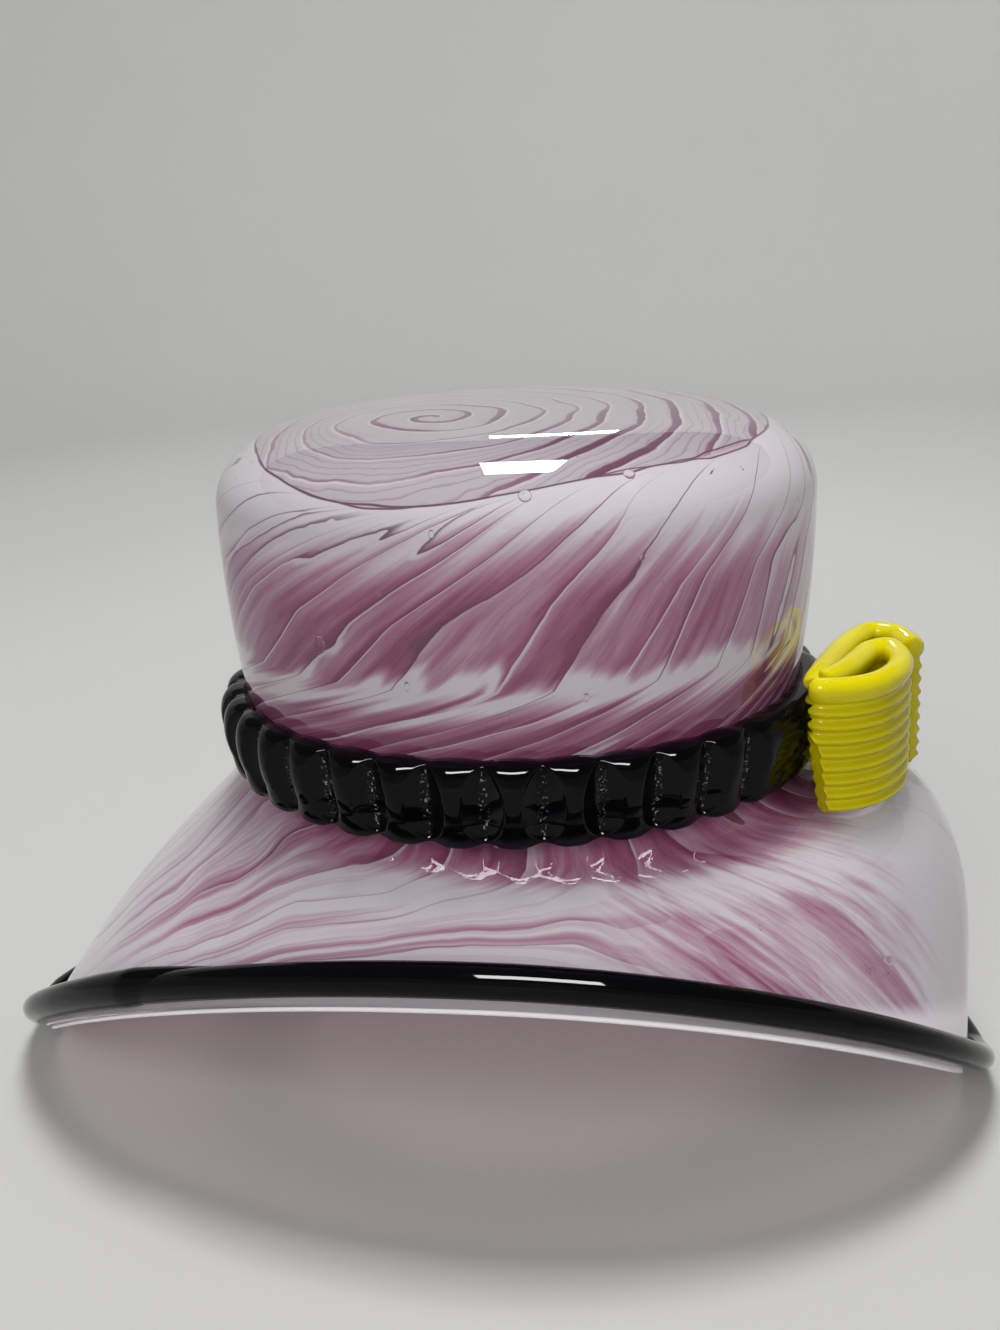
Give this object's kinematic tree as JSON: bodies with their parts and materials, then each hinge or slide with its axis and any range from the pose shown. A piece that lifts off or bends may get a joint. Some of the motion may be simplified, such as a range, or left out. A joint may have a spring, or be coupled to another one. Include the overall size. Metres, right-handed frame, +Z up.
{
  "type": "glass hat",
  "caption": "Blown glass top hat with a swirled white and pink body under clear glass, a crimped black band, a black edge trail and a ribbed yellow bow; an ornament that stands on its brim.",
  "frame": {"origin": "on the table, under the middle of the hat's outline", "axes": "+X towards the bow, +Y towards the back of the brim, +Z up along the crown"},
  "size_m": [0.2102, 0.1668, 0.1375],
  "materials": {
    "swirl_glass": "glossy, white and pink streaks",
    "clear_glass": "fire polished",
    "black_glass": "fire polished",
    "yellow_glass": "fire polished"
  },
  "bodies": {
    "root": {"swirl_body": "swirl_glass", "clear_casing": "clear_glass", "hat_band": "black_glass", "lip_wrap": "black_glass", "bow_front_loop": "yellow_glass", "bow_back_loop": "yellow_glass"}
  },
  "joints": []
}
